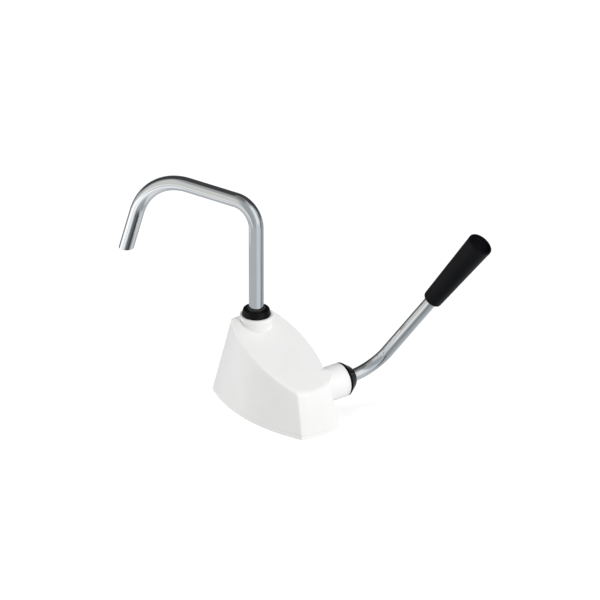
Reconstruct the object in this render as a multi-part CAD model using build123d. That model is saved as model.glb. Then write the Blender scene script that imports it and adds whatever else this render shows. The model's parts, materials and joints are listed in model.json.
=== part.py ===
from build123d import *
from math import atan2, copysign, cos, radians, sin, tan
import os

# Lever-operated galley hand pump for deck or worktop mounting, in millimetres.
# A lever swings a vane in a sector-shaped chamber, so the pump lifts water on both strokes.
# Four flap valves pass the water from the suction port in the base to a swivelling spout.
# The origin is the centre of the base at deck level. +X points to the low nose,
# +Y to the side where the lever comes out, +Z up.

# ---- Driving dimensions -------------------------------------------------------------

# Fits
RUN_FIT = 0.05  # radial clearance of a shaft or tube turning in its bush
PASS_GAP = 0.35  # gap between pieces that only pass each other
SEAT_GAP = 0.1  # slack round a seal, a packing or a screw in its hole

# Housing: a wedge with a straight back, bowed sides and a slightly bowed nose, under a sloping top.
# Its length and width follow from the pieces that stand inside it.
BASE_BOW = 16.0  # how far the sides bow out beyond the ends
NOSE_BOW = 4.0  # how far the nose bows out beyond its own corners
NOSE_TAPER = 1.75  # by which half the nose is narrower than half the back
BACK_LEAN = 17.35  # degrees that the back wall leans forward
NOSE_LEAN = 13.92  # degrees that the nose wall leans back
BACK_DRAFT = 2.17  # degrees that the sides close in towards the top, at the back
NOSE_DRAFT = 3.73  # the same at the nose
BOW_DRAFT = 2.11  # degrees by which the bow itself gets flatter
SLOPE = 21.58  # degrees of the sloping top
WALL = 3.0
PLATE = 4.5  # thickness of the base plate, below the parting line
PARTING_CHAMFER = 0.5
NOSE_ROUND = 8.0
EDGE_ROUND = 2.8
BACK_ROUND = 4.0
SHARP_ANGLE = 10.0  # degrees between two faces, from which they meet at a sharp edge
GROOVE_DEPTH = 0.35  # fine lines turned into the boss and the stub
GROOVE_WIDTH = 0.6

# Rocker shaft, vane and chamber
SHAFT_Z = 36.0
LEVER_OD = 12.7
LEVER_WALL = 1.2
HUB_WALL = 2.2
VANE_GAP = 0.3  # running gap round the vane and its hub
VANE_THICK = 5.0
STOP_GAP = 0.2  # more room under the vane at the end of its stroke
VANE_CORE = 2.6
CHAMBER_R = 42.0
VANE_UP = 26.0  # degrees above level at rest
SWING = 60.0  # lever stroke in degrees, downward from rest
CASING_WALL = 3.0
COVER_WALL = 3.4
SHAFT_WALL = 4.45  # wall that holds the inner bush
INNER_BUSH = 3.55  # length of the bush in that wall
INNER_BUSH_WALL = 1.6
COVER_BUSH_WALL = 2.2
SHAFT_SEAL_MINOR = 1.3
POCKET_DEPTH = 14.0  # water pockets between the chamber and the valves
DUCT_HEIGHT = 4.4  # under the chamber, from the lower pocket
MOUTH_REACH = 10.5  # how far the duct and the upper pocket run into the chamber
PIN_R = 2.0  # cross pin through the shaft
PIN_SHORT = 0.9  # how far its ends stay inside the vane's hub
PLUG_LENGTH = 6.0
WIPER_EDGE = 2.6  # depth by which the soft wiper grips the vane, and stands out from it
WIPER_FOOT = 1.5  # from the hub to the wiper
NOSE_SPACE = 2.4  # free space between the casing's nose and the housing

# Valves
FLAP_WIDTH = 8.6
FLAP_HEIGHT = 10.0
FLAP_THICK = 1.5
FLAP_BESIDE = 1.2  # from a hinge's lugs to the wall between the two ways
FLAP_MARGIN = 0.44  # from a hinge's lugs to the casing's inner side wall
VALVE_BORE = 7.6
KNUCKLE_R = 1.5
HINGE_PIN_R = 0.8
LUG = 1.0
FLAP_SIDE = 0.2  # side play of a flap between its lugs
FLAP_ROOM = 0.7  # room above a knuckle
FLAP_FOOT = 0.8  # room under a flap
VALVE_PLATE = 3.0
GASKET = 0.8
CHEST_LENGTH = 29.38  # of the valve chest, front to back
NECK_LEDGE = 0.2  # from the spout's neck to the back of the chest
DIVIDER = 3.0
CHEST_CEILING = 4.0  # top wall of the valve chest
NECK_FLOOR = 3.6  # wall between the inlet way and the spout's neck

# Spout and its swivel
SPOUT_OD = 15.0
SPOUT_WALL = 1.0
SPOUT_RISER = 119.8  # from the top of the boss to the first corner
SPOUT_RUN = 132.1
SPOUT_LEG = 94.8
SPOUT_HEADING = 197.7  # degrees from +X, seen from above
LEG_SPLAY = 17.2  # degrees that the outlet leg leans outward
RISER_BEND = 24.0
OUTLET_BEND = 66.0
BOSS_OD = 33.0
BOSS_WALL = 3.0
COLLAR_R = 10.6
COLLAR_HEIGHT = 2.6
SPOUT_BUSH = 9.0
WASHER = 1.0
NUT_SPIGOT = 4.0
SPOUT_SEAL_MINOR = 0.9
SPOUT_SEAL_INSET = 2.6  # from each end of the bush to the middle of a seal
SPOUT_NUT_R = 14.8
SPOUT_NUT_RIM = 1.5  # straight rim under the dome
SPOUT_NUT_HEIGHT = 7.5
SPOUT_NUT_TOP_R = 11.0
SPOUT_NUT_DRAFT = 0.2  # by which the rim closes in
SPOUT_NUT_SHOULDER = 1.6  # from the foot's edge in to the dome's shoulder
SPOUT_NUT_CROWN = 1.0  # height of the dome over its shoulder
SPOUT_NUT_SINK = 0.3  # by which the dome falls again to its bore
SPOUT_NUT_CROWN_ROUND = 1.5
BOSS_GROOVES = (5.1, 7.4)  # depths below the top of the boss
BACK_SPACE = 1.4  # free space between the valve chest and the back wall

# Stub, lever and grip
STUB_OD = 35.0
STUB_LENGTH = 17.2  # beyond the side of the housing
STUB_BORE_R = 12.0
STUB_BLEND = 8.0  # length over which the stub's top sinks into the sloping top
STUB_GROOVE = 2.2  # from the stub's end to its fine line
STUB_BUSH = 9.0
STUB_SHOULDER = 3.0
PACKING = 4.0
SHAFT_SPIGOT = 3.0
SHAFT_NUT_R = 17.4
SHAFT_NUT_RIM = 2.8
SHAFT_NUT_LENGTH = 12.4
SHAFT_NUT_TIP_R = 10.4
NUT_TAPER_END = 1.4  # bevel round the cone's tip
NUT_FOOT_ROUND = 0.4
NUT_RIM_ROUND = 0.8
NUT_TIP_ROUND = 0.5
NUT_BEVEL_ROUND = 2.0
LEVER_REACH = 38.8  # from the stub's end to the lever's corner
LEVER_LEAN = 31.7  # degrees that the lever leans to the nose at rest
LEVER_SPLAY = 17.5  # degrees that it leans away from the housing
LEVER_ARM = 198.0  # from the corner to the grip's end
LEVER_BEND = 38.0
GRIP_LENGTH = 88.0
GRIP_TOP_R = 13.3
GRIP_FOOT_R = 9.9
GRIP_FOOT_ROUND = 2.2
GRIP_TOP_ROUND = 1.0
GRIP_DISH = 3.5  # depth of the hollow in the grip's end
GRIP_RIM = 2.2
GRIP_CAP = 3.0  # plastic between the hollow and the tube's end

# Ports and fasteners
PORT_R = 7.475  # minor radius of a G3/8 thread
PORT_PAD_R = 11.0
PORT_PAD_TOP = 14.0
PORT_BEHIND = 6.3  # from the spout's axis to the port's, towards the back
PORT_ASIDE = 7.5  # from the middle plane, on the inlet side
PORT_SEAL_R = 9.25
PORT_SEAL_MINOR = 0.7
PASSAGE_R = 5.0
PASSAGE_SHIFT_X = 2.0  # from the port's axis to the chest's inlet hole
PASSAGE_SHIFT_Y = 1.0
DECK_SPACING_X = 70.0
DECK_BESIDE = 1.01  # from the cover screws' heads to the plastic round an insert
INSERT_BORE_R = 2.1  # minor radius of an M5 thread
INSERT_R = 3.2
INSERT_LENGTH = 10.0
INSERT_SKIN = 1.4  # plastic around an insert
INSERT_CAP = 3.0  # plastic over it
COVER_SCREW_R = 1.5
COVER_SCREW_HEAD = 1.8
COVER_SCREW_BITE = 7.0
VALVE_SCREW_BITE = 8.5
BLIND_END = 0.5  # hole left beyond a screw's tip
VALVE_SCREW_INSET = 6.6  # from the side of the casing
VALVE_SCREW_SKIN = 1.4
VALVE_SCREW_RISE = 4.0  # clear of the pockets above and below
COVER_SCREW_INSET = 8.0  # from the back face of the casing
COVER_SCREW_RISE = 9.5
COVER_FOOT_RISE = 6.0  # above the floor of the water passages
COVER_FOOT_BEHIND = 12.0  # from the shaft's axis
COVER_FOOT_AHEAD = 6.0
BASE_SCREW_R = 1.75
BASE_SCREW_BITE = 12.0
BODY_SCREW_TIP = 12.0
BODY_SCREW_Y = 9.0
BODY_SCREW_X = 5.0  # from the shaft's axis towards the back
FOOT_SCREW_X = 5.4  # from the front of the valve chest to its foot screws
FOOT_SCREW_Y = 4.2  # from the side of the valve chest
FOOT_HALF = 4.0
FOOT_SKIN = 3.6
FOOT_CAP = 1.5
HOUSING_SCREW_INSET = 21.5  # from each end of the base
BOSS_SKIN = 1.75  # plastic around a housing screw
BOSS_MERGE = 0.6  # how far such a boss runs into the wall
BOSS_CAP = 4.0
SCREW_HEAD = 1.9  # head radius as a multiple of the shank's


# ---- Shapes used throughout ---------------------------------------------------------
def block(x0, x1, y0, y1, z0, z1):
    centre = Location(((x0 + x1) / 2, (y0 + y1) / 2, (z0 + z1) / 2))
    return centre * Box(x1 - x0, y1 - y0, z1 - z0)


def rod(start, end, radius):
    """A cylinder from one point to another."""
    axis = Vector(*end) - Vector(*start)
    return extrude(Plane(origin=start, z_dir=axis) * Circle(radius), axis.length)


def rod_x(y, z, radius, x0, x1):
    return rod((x0, y, z), (x1, y, z), radius)


def rod_y(x, z, radius, y0, y1):
    return rod((x, y0, z), (x, y1, z), radius)


def rod_z(x, y, radius, z0, z1):
    return rod((x, y, z0), (x, y, z1), radius)


def ring(place, major, minor):
    return place * Torus(major, minor)


def turned(place, profile):
    """A solid turned about the place's Z axis, from (radius, height, corner round) points."""
    points = [(r, 0, h) for r, h, _ in profile]
    rounds = [corner for _, _, corner in profile]
    return place * revolve(make_face(FilletPolyline(points, radius=rounds, close=True)), Axis.Z)


def groove_z(x, y, radius, z):
    """The stuff that a fine groove takes off a cylinder along Z."""
    low, high = z - GROOVE_WIDTH / 2, z + GROOVE_WIDTH / 2
    return rod_z(x, y, radius + GROOVE_WIDTH, low, high) - rod_z(x, y, radius - GROOVE_DEPTH, low, high)


def groove_y(x, z, radius, y):
    """The same along Y."""
    low, high = y - GROOVE_WIDTH / 2, y + GROOVE_WIDTH / 2
    return rod_y(x, z, radius + GROOVE_WIDTH, low, high) - rod_y(x, z, radius - GROOVE_DEPTH, low, high)


def slab_y(points, y0, y1):
    """A flat piece with an (x, z) outline, from y0 to y1."""
    outline = make_face(Polyline([(x, y0, z) for x, z in points], close=True))
    return extrude(outline, y1 - y0, dir=(0, 1, 0))


def pan_screw(tip, seat, radius, head):
    """A screw from its tip to the seat, with a round head of the given height on it."""
    outward = (Vector(*seat) - Vector(*tip)).normalized()
    top = Vector(*seat) + outward * head
    return rod(tip, seat, radius) + rod(seat, tuple(top), radius * SCREW_HEAD)


def countersunk(x, y, radius, tip_z):
    """A flat-headed screw driven upwards from the underside of the base."""
    head = radius * SCREW_HEAD
    outline = [(0, 0), (head, 0), (radius, head - radius), (radius, tip_z), (0, tip_z)]
    return turned(Location((x, y, 0)), [(r, z, 0) for r, z in outline])


def tube_along(path, outer, inner):
    start = Plane(origin=path @ 0, z_dir=path % 0)
    return sweep(start * Circle(outer), path) - sweep(start * Circle(inner), path)


# ---- The pieces inside, which set the housing's length and width --------------------
LEVER_R = LEVER_OD / 2
SPOUT_R = SPOUT_OD / 2
STUB_R = STUB_OD / 2
BOSS_R = BOSS_OD / 2
HUB_R = LEVER_R + HUB_WALL
HUB_BORE_R = HUB_R + VANE_GAP
CASING_LIFT = HUB_BORE_R + CASING_WALL  # the shaft's depth under the casing's top
TOP_LIFT = CASING_LIFT + PASS_GAP + WALL  # and under the housing's sloping top
LUG_INNER = FLAP_WIDTH / 2 + FLAP_SIDE
LUG_OUTER = LUG_INNER + LUG
FLAP_OFFSET = DIVIDER / 2 + FLAP_BESIDE + LUG_OUTER  # from the middle plane to a flap's middle
CASING_HALF = FLAP_OFFSET + LUG_OUTER + FLAP_MARGIN + SHAFT_WALL
DECK_SPACING_Y = 2 * (CASING_HALF + COVER_SCREW_HEAD + DECK_BESIDE + INSERT_SKIN + INSERT_R)
VALVE_BEHIND = CHAMBER_R + CASING_WALL + POCKET_DEPTH  # from the shaft to the casing's back
CHEST_BEHIND = VALVE_BEHIND + VALVE_PLATE + 2 * GASKET


def slope_over(behind, lift):
    """Height, so far behind the shaft, of a plane parallel to the sloping top."""
    return SHAFT_Z + behind * tan(radians(SLOPE)) + lift / cos(radians(SLOPE))


CHEST_TOP = slope_over(CHEST_BEHIND, TOP_LIFT - WALL) - PASS_GAP
NOSE_AHEAD = SHAFT_Z * tan(radians(NOSE_LEAN)) + TOP_LIFT + NOSE_SPACE
BACK_BEHIND = CHEST_TOP * tan(radians(BACK_LEAN)) + WALL + BACK_SPACE
BASE_LENGTH = NOSE_AHEAD + CHEST_BEHIND + CHEST_LENGTH + BACK_BEHIND


# ---- The housing's walls as functions of height -------------------------------------
def back_x(z):
    return -BASE_LENGTH / 2 + z * tan(radians(BACK_LEAN))


def nose_x(z):
    return BASE_LENGTH / 2 - z * tan(radians(NOSE_LEAN))


def side_beyond(x, z):
    """How far the side is, at a height and a place along it, beyond the back at deck level."""
    back_in = z * tan(radians(BACK_DRAFT))
    nose_in = z * tan(radians(NOSE_DRAFT))
    share = (x - back_x(z)) / (nose_x(z) - back_x(z))
    bow = (BASE_BOW - z * tan(radians(BOW_DRAFT))) * 4 * share * (1 - share)
    return bow - back_in - (NOSE_TAPER + nose_in - back_in) * share


SHAFT_X = BASE_LENGTH / 2 - NOSE_AHEAD
CASING_NOSE = SHAFT_X + CASING_LIFT + PASS_GAP
CASING_NOSE_TOP = slope_over(SHAFT_X - CASING_NOSE, CASING_LIFT)
CHEST_BACK = SHAFT_X - CHEST_BEHIND - CHEST_LENGTH
NARROWEST = min(side_beyond(CASING_NOSE, CASING_NOSE_TOP), side_beyond(CHEST_BACK, CHEST_TOP))
BASE_END_HALF = CASING_HALF + PASS_GAP + WALL - NARROWEST  # at the back, at deck level


def side_y(x, z):
    """Half width of the housing at a height and a place along it."""
    return BASE_END_HALF + side_beyond(x, z)


def outline_at(z, inset=0.0):
    """The housing's outline at a height: a straight back and three arcs."""
    back, nose = back_x(z) + inset, nose_x(z) - inset
    middle = (back + nose) / 2
    back_half = side_y(back, z) - inset
    nose_half = side_y(nose, z) - inset
    middle_half = side_y(middle, z) - inset
    left = ThreePointArc((back, back_half, z), (middle, middle_half, z), (nose, nose_half, z))
    right = ThreePointArc((nose, -nose_half, z), (middle, -middle_half, z), (back, -back_half, z))
    front = ThreePointArc((nose, nose_half, z), (nose + NOSE_BOW, 0, z), (nose, -nose_half, z))
    rear = Line((back, -back_half, z), (back, back_half, z))
    return make_face([left, front, right, rear])


# ---- Places worked out from the driving dimensions ----------------------------------
def slope_z(x, lift):
    """Height at x of a plane parallel to the sloping top, a distance from the shaft."""
    return slope_over(SHAFT_X - x, lift)


def under_slope(solid, lift):
    """What is left of a solid below a plane parallel to the sloping top."""
    up = (sin(radians(SLOPE)), 0, cos(radians(SLOPE)))
    origin = (SHAFT_X + lift * up[0], 0, SHAFT_Z + lift * up[2])
    return split(solid, bisect_by=Plane(origin=origin, z_dir=up), keep=Keep.BOTTOM)


VALVE_X = SHAFT_X - VALVE_BEHIND  # back face of the casing
PLATE_FRONT = VALVE_X - GASKET
PLATE_REAR = PLATE_FRONT - VALVE_PLATE
CHEST_FRONT = PLATE_REAR - GASKET
NECK_R = BOSS_R - BOSS_WALL - PASS_GAP
SPOUT_X = CHEST_BACK + NECK_LEDGE + NECK_R
CHAMBER_LOW_Y = SHAFT_WALL - CASING_HALF
CHAMBER_HIGH_Y = CASING_HALF - COVER_WALL
CASING_HIGH_Y = CHAMBER_HIGH_Y - GASKET
CHEST_WALL_Y = CASING_HALF - CASING_WALL

# Valves, from the floor of the water passages upwards
FLOOR = PLATE + CASING_WALL + PASS_GAP
LOWER_HINGE_Z = FLOOR + FLAP_HEIGHT + FLAP_FOOT + FLAP_ROOM
LOWER_POCKET_TOP = LOWER_HINGE_Z + KNUCKLE_R + FLAP_ROOM
HINGE_OUT = FLAP_THICK + PASS_GAP  # from the valve face to a hinge pin's middle
UPPER_POCKET_TOP = slope_z(PLATE_FRONT + HINGE_OUT + KNUCKLE_R, HUB_BORE_R)
UPPER_HINGE_Z = UPPER_POCKET_TOP - KNUCKLE_R - FLAP_ROOM
UPPER_POCKET_FLOOR = UPPER_HINGE_Z - FLAP_HEIGHT - FLAP_FOOT
VALVE_TOP = slope_z(VALVE_X, CASING_LIFT)
HINGE_LINES = {"upper": UPPER_HINGE_Z, "lower": LOWER_HINGE_Z}
INLET_CEILING = UPPER_HINGE_Z - HINGE_PIN_R
OUTLET_CEILING = CHEST_TOP - CHEST_CEILING

# The spout's swivel, upwards
COLLAR_Z = CHEST_TOP + PASS_GAP
NECK_TOP = COLLAR_Z + COLLAR_HEIGHT + PASS_GAP
BUSH_TOP = NECK_TOP + SPOUT_BUSH
BOSS_TOP = BUSH_TOP + WASHER + NUT_SPIGOT
COLLAR_BORE_R = COLLAR_R + PASS_GAP
SPOUT_SEAL_R = SPOUT_R + RUN_FIT + SPOUT_SEAL_MINOR
SPOUT_SEAL_Z = (NECK_TOP + SPOUT_SEAL_INSET, BUSH_TOP - SPOUT_SEAL_INSET)

# The shaft, outwards from its inner end
SHAFT_END = CHAMBER_LOW_Y + PASS_GAP - INNER_BUSH
INNER_BUSH_R = LEVER_R + INNER_BUSH_WALL
COVER_BUSH_R = LEVER_R + COVER_BUSH_WALL
PIN_Y = (CHAMBER_LOW_Y + CHAMBER_HIGH_Y) / 2
VANE_LOW_Y = CHAMBER_LOW_Y + VANE_GAP
VANE_HIGH_Y = CHAMBER_HIGH_Y - VANE_GAP
VANE_TIP = CHAMBER_R - VANE_GAP
SIDE_AT_STUB = side_y(SHAFT_X, SHAFT_Z)
STUB_END = SIDE_AT_STUB + STUB_LENGTH
PACKING_Y = STUB_END - SHAFT_SPIGOT - PACKING
STUB_BUSH_Y = PACKING_Y - STUB_BUSH
SHOULDER_Y = STUB_BUSH_Y - STUB_SHOULDER
COVER_BOSS_END = SHOULDER_Y - PASS_GAP
COVER_BUSH_END = COVER_BOSS_END - 2 * SHAFT_SEAL_MINOR - 2 * SEAT_GAP
SEAL_HOUSING_R = LEVER_R + RUN_FIT + 2 * SHAFT_SEAL_MINOR + SEAT_GAP

# The bent tubes
SPOUT_WAY = Vector(cos(radians(SPOUT_HEADING)), sin(radians(SPOUT_HEADING)), 0)
SPOUT_CORNER = Vector(SPOUT_X, 0, BOSS_TOP + SPOUT_RISER)
OUTLET_CORNER = SPOUT_CORNER + SPOUT_WAY * SPOUT_RUN
LEG_WAY = SPOUT_WAY * sin(radians(LEG_SPLAY)) - Vector(0, 0, cos(radians(LEG_SPLAY)))
OUTLET_END = OUTLET_CORNER + LEG_WAY * SPOUT_LEG
LEVER_CORNER = Vector(SHAFT_X, STUB_END + LEVER_REACH, SHAFT_Z)
LEVER_WAY = Vector(
    sin(radians(LEVER_LEAN)) * cos(radians(LEVER_SPLAY)),
    sin(radians(LEVER_SPLAY)),
    cos(radians(LEVER_LEAN)) * cos(radians(LEVER_SPLAY)),
)

# The suction port, which the valve chest stands over
PORT_X = SPOUT_X - PORT_BEHIND
PORT_Y = -PORT_ASIDE
PASSAGE_X = PORT_X + PASSAGE_SHIFT_X
PASSAGE_Y = PORT_Y - PASSAGE_SHIFT_Y
CHEST_STEP_X = PORT_X + PORT_PAD_R + PASS_GAP  # ahead of it the chest reaches the base plate

# Screws, as places in the plane that each kind is driven through
HOUSING_SCREWS = [
    (x, side * (side_y(x, PLATE) - WALL - BASE_SCREW_R - BOSS_SKIN + BOSS_MERGE))
    for x in (HOUSING_SCREW_INSET - BASE_LENGTH / 2, BASE_LENGTH / 2 - HOUSING_SCREW_INSET)
    for side in (-1, 1)
]
CASING_FEET = [(SHAFT_X - BODY_SCREW_X, side * BODY_SCREW_Y) for side in (-1, 1)]
CHEST_FEET = [
    (CHEST_FRONT - FOOT_SCREW_X, side * (CASING_HALF + FOOT_SCREW_Y)) for side in (-1, 1)
]
DECK_HOLES = [
    (x, y)
    for x in (-DECK_SPACING_X / 2, DECK_SPACING_X / 2)
    for y in (-DECK_SPACING_Y / 2, DECK_SPACING_Y / 2)
]
VALVE_SCREWS = [
    (y, z)
    for y in (VALVE_SCREW_INSET - CASING_HALF, CASING_HALF - VALVE_SCREW_INSET)
    for z in (LOWER_POCKET_TOP + VALVE_SCREW_RISE, UPPER_POCKET_FLOOR - VALVE_SCREW_RISE)
]
COVER_SCREWS = [
    (VALVE_X + COVER_SCREW_INSET, LOWER_POCKET_TOP + COVER_SCREW_RISE),
    (VALVE_X + COVER_SCREW_INSET, UPPER_POCKET_FLOOR - COVER_SCREW_RISE),
    (SHAFT_X - COVER_FOOT_BEHIND, FLOOR + COVER_FOOT_RISE),
    (SHAFT_X + COVER_FOOT_AHEAD, FLOOR + COVER_FOOT_RISE),
]


# ---- Housing and base ---------------------------------------------------------------
def wedge(inset, low, lift):
    """The housing's outer or inner form above a height, before its edges are rounded."""
    high = slope_z(-BASE_LENGTH / 2, lift)
    return under_slope(loft([outline_at(low, inset), outline_at(high, inset)], ruled=True), lift)


def sharp_edges(solid, floor):
    """Edges above a height where two faces meet at an angle."""
    found = []
    for edge in solid.edges().filter_by(lambda e: e.bounding_box().max.Z > floor + PARTING_CHAMFER):
        beside = [f for f in solid.faces() if any(edge.is_same(other) for other in f.edges())]
        normals = [face.normal_at(edge @ 0.5) for face in beside]
        if normals[0].get_angle(normals[-1]) > SHARP_ANGLE:
            found.append(edge)
    return ShapeList(found)


def rounded_wedge():
    """The outer form, with a soft nose, softer back corners and eased upper edges."""
    form = wedge(0, PLATE, TOP_LIFT)
    across = sharp_edges(form, PLATE).filter_by(lambda e: abs(e.center().Y) < BACK_ROUND)
    form = fillet(across.sort_by(Axis.X)[-1], NOSE_ROUND)
    along = sharp_edges(form, PLATE).filter_by(lambda e: abs(e.center().Y) > BACK_ROUND)
    form = fillet(along.sort_by(Axis.X)[:2], BACK_ROUND)
    return fillet(sharp_edges(form, PLATE), EDGE_ROUND)


def stub_root():
    """The inner end of the stub, which sinks gently into the sloping top."""
    root = rod_y(SHAFT_X, SHAFT_Z, STUB_R, CASING_HALF + 2 * PASS_GAP, SIDE_AT_STUB)
    up = Vector(sin(radians(SLOPE)), 0, cos(radians(SLOPE)))
    drop = atan2(STUB_R - TOP_LIFT, STUB_BLEND)
    origin = Vector(SHAFT_X, SIDE_AT_STUB, SHAFT_Z) + up * STUB_R
    tilted = up * cos(drop) - Vector(0, 1, 0) * sin(drop)
    return split(root, bisect_by=Plane(origin=origin, z_dir=tilted), keep=Keep.BOTTOM)


def make_housing():
    outer = rounded_wedge()
    shell = outer - wedge(WALL, PLATE, TOP_LIFT - WALL)
    shell = shell + stub_root()
    shell = shell + rod_y(SHAFT_X, SHAFT_Z, STUB_R, SIDE_AT_STUB, STUB_END)
    shell = shell + rod_z(SPOUT_X, 0, BOSS_R, CHEST_TOP + PASS_GAP, BOSS_TOP)
    for x, y in HOUSING_SCREWS:
        tip = PLATE + BASE_SCREW_BITE + BLIND_END
        boss = rod_z(x, y, BASE_SCREW_R + BOSS_SKIN, PLATE, tip + BOSS_CAP)
        shell = shell + (boss & outer) - rod_z(x, y, BASE_SCREW_R, PLATE, tip)
    shell = shell - rod_z(SPOUT_X, 0, BOSS_R - BOSS_WALL, CHEST_TOP, BOSS_TOP)
    shell = shell - rod_y(SHAFT_X, SHAFT_Z, STUB_BORE_R, CASING_HALF, SHOULDER_Y)
    shell = shell - rod_y(SHAFT_X, SHAFT_Z, LEVER_R + STUB_SHOULDER, SHOULDER_Y, STUB_BUSH_Y)
    shell = shell - rod_y(SHAFT_X, SHAFT_Z, STUB_BORE_R, STUB_BUSH_Y, STUB_END)
    for depth in BOSS_GROOVES:
        shell = shell - groove_z(SPOUT_X, 0, BOSS_R, BOSS_TOP - depth)
    return shell - groove_y(SHAFT_X, SHAFT_Z, STUB_R, STUB_END - STUB_GROOVE)


def make_base_plate():
    plate = loft([outline_at(0), outline_at(PLATE)], ruled=True)
    corners = plate.edges().filter_by(lambda e: e.length < 2 * PLATE).sort_by(Axis.X)
    plate = fillet(corners[:2], BACK_ROUND)
    corners = plate.edges().filter_by(lambda e: e.length < 2 * PLATE).sort_by(Axis.X)
    plate = fillet(corners[-2:], EDGE_ROUND)
    plate = chamfer(plate.faces().sort_by(Axis.Z)[-1].edges(), PARTING_CHAMFER)
    plate = plate + rod_z(PORT_X, PORT_Y, PORT_PAD_R, PLATE, PORT_PAD_TOP)
    for x, y in DECK_HOLES:
        plate = plate + rod_z(x, y, INSERT_R + INSERT_SKIN, PLATE, INSERT_LENGTH + INSERT_CAP)
        plate = plate - rod_z(x, y, INSERT_R, 0, INSERT_LENGTH)
    for x, y in HOUSING_SCREWS + CASING_FEET + CHEST_FEET:
        plate = plate - countersunk(x, y, BASE_SCREW_R, PLATE)
    plate = plate - rod_z(PORT_X, PORT_Y, PORT_R, 0, PORT_PAD_TOP)
    return plate - port_groove()


def port_groove():
    """The groove for the seal between the port's pad and the valve chest."""
    low = PORT_PAD_TOP - 2 * PORT_SEAL_MINOR
    outer = rod_z(PORT_X, PORT_Y, PORT_SEAL_R + PORT_SEAL_MINOR, low, PORT_PAD_TOP)
    return outer - rod_z(PORT_X, PORT_Y, PORT_SEAL_R - PORT_SEAL_MINOR, low, PORT_PAD_TOP)


def make_deck_inserts():
    return Compound(children=[
        rod_z(x, y, INSERT_R, 0, INSERT_LENGTH) - rod_z(x, y, INSERT_BORE_R, 0, INSERT_LENGTH)
        for x, y in DECK_HOLES
    ])


def make_base_screws(places, tip):
    return Compound(children=[countersunk(x, y, BASE_SCREW_R, tip) for x, y in places])


def make_port_seal():
    z = PORT_PAD_TOP - PORT_SEAL_MINOR
    return ring(Location((PORT_X, PORT_Y, z)), PORT_SEAL_R, PORT_SEAL_MINOR)


# ---- Pump casing: the vane's chamber and its two water pockets ------------------------
def casing_profile():
    return [
        (VALVE_X, PLATE),
        (CASING_NOSE, PLATE),
        (CASING_NOSE, CASING_NOSE_TOP),
        (VALVE_X, slope_z(VALVE_X, CASING_LIFT)),
    ]


def chamber(y0, y1):
    """The sector swept by the vane, the pockets behind it and the bore for its hub."""
    sector = rod_y(SHAFT_X, SHAFT_Z, CHAMBER_R, y0, y1)
    sector = sector & block(SHAFT_X - CHAMBER_R, SHAFT_X, y0, y1, 0, SHAFT_Z + CHAMBER_R)
    down = radians(SWING - VANE_UP)
    below = Vector(sin(down), 0, -cos(down))
    origin = Vector(SHAFT_X, 0, SHAFT_Z) + below * (VANE_THICK / 2 + VANE_GAP + STOP_GAP)
    sector = split(sector, bisect_by=Plane(origin=origin, z_dir=below), keep=Keep.BOTTOM)
    mouth = VALVE_X + POCKET_DEPTH + CASING_WALL + MOUTH_REACH
    upper = block(VALVE_X, mouth, y0, y1, UPPER_POCKET_FLOOR, CHEST_TOP)
    lower = block(VALVE_X, VALVE_X + POCKET_DEPTH, y0, y1, FLOOR, LOWER_POCKET_TOP)
    duct = block(VALVE_X, mouth, y0, y1, FLOOR, FLOOR + DUCT_HEIGHT)
    space = under_slope(sector + upper, HUB_BORE_R) + lower + duct
    return space + rod_y(SHAFT_X, SHAFT_Z, HUB_BORE_R, y0, y1)


def make_casing():
    casing = slab_y(casing_profile(), -CASING_HALF, CASING_HIGH_Y)
    casing = casing - chamber(CHAMBER_LOW_Y, CASING_HIGH_Y)
    casing = casing - rod_y(SHAFT_X, SHAFT_Z, INNER_BUSH_R, SHAFT_END - PASS_GAP, CHAMBER_LOW_Y)
    for y, z in VALVE_SCREWS:
        casing = casing - rod_x(y, z, COVER_SCREW_R, VALVE_X, VALVE_X + VALVE_SCREW_BITE + BLIND_END)
    for x, z in COVER_SCREWS:
        deep = CASING_HIGH_Y - COVER_SCREW_BITE - BLIND_END
        casing = casing - rod_y(x, z, COVER_SCREW_R, deep, CASING_HIGH_Y)
    for x, y in CASING_FEET:
        casing = casing - rod_z(x, y, BASE_SCREW_R, PLATE, BODY_SCREW_TIP + BLIND_END)
    return casing


def make_casing_cover():
    cover = slab_y(casing_profile(), CHAMBER_HIGH_Y, CASING_HALF)
    boss_r = STUB_BORE_R - PASS_GAP
    cover = cover + rod_y(SHAFT_X, SHAFT_Z, boss_r, CASING_HALF, COVER_BOSS_END)
    cover = cover - rod_y(SHAFT_X, SHAFT_Z, COVER_BUSH_R, CHAMBER_HIGH_Y, COVER_BUSH_END)
    cover = cover - rod_y(SHAFT_X, SHAFT_Z, SEAL_HOUSING_R, COVER_BUSH_END, COVER_BOSS_END)
    for x, z in COVER_SCREWS:
        cover = cover - rod_y(x, z, COVER_SCREW_R, CHAMBER_HIGH_Y, CASING_HALF)
    return cover


def make_cover_gasket():
    gasket = slab_y(casing_profile(), CASING_HIGH_Y, CHAMBER_HIGH_Y)
    gasket = gasket - chamber(CASING_HIGH_Y, CHAMBER_HIGH_Y)
    for x, z in COVER_SCREWS:
        gasket = gasket - rod_y(x, z, COVER_SCREW_R, CASING_HIGH_Y, CHAMBER_HIGH_Y)
    return gasket


def make_cover_screws():
    return Compound(children=[
        pan_screw(
            (x, CASING_HIGH_Y - COVER_SCREW_BITE, z),
            (x, CASING_HALF, z),
            COVER_SCREW_R,
            COVER_SCREW_HEAD,
        )
        for x, z in COVER_SCREWS
    ])


# ---- Valve plate, flaps and the gaskets beside it --------------------------------------
def hinge_x(side):
    """X of a hinge pin: the inlet flaps hang ahead of the plate, the outlets behind it."""
    return PLATE_FRONT + HINGE_OUT if side == "inlet" else PLATE_REAR - HINGE_OUT


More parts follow.
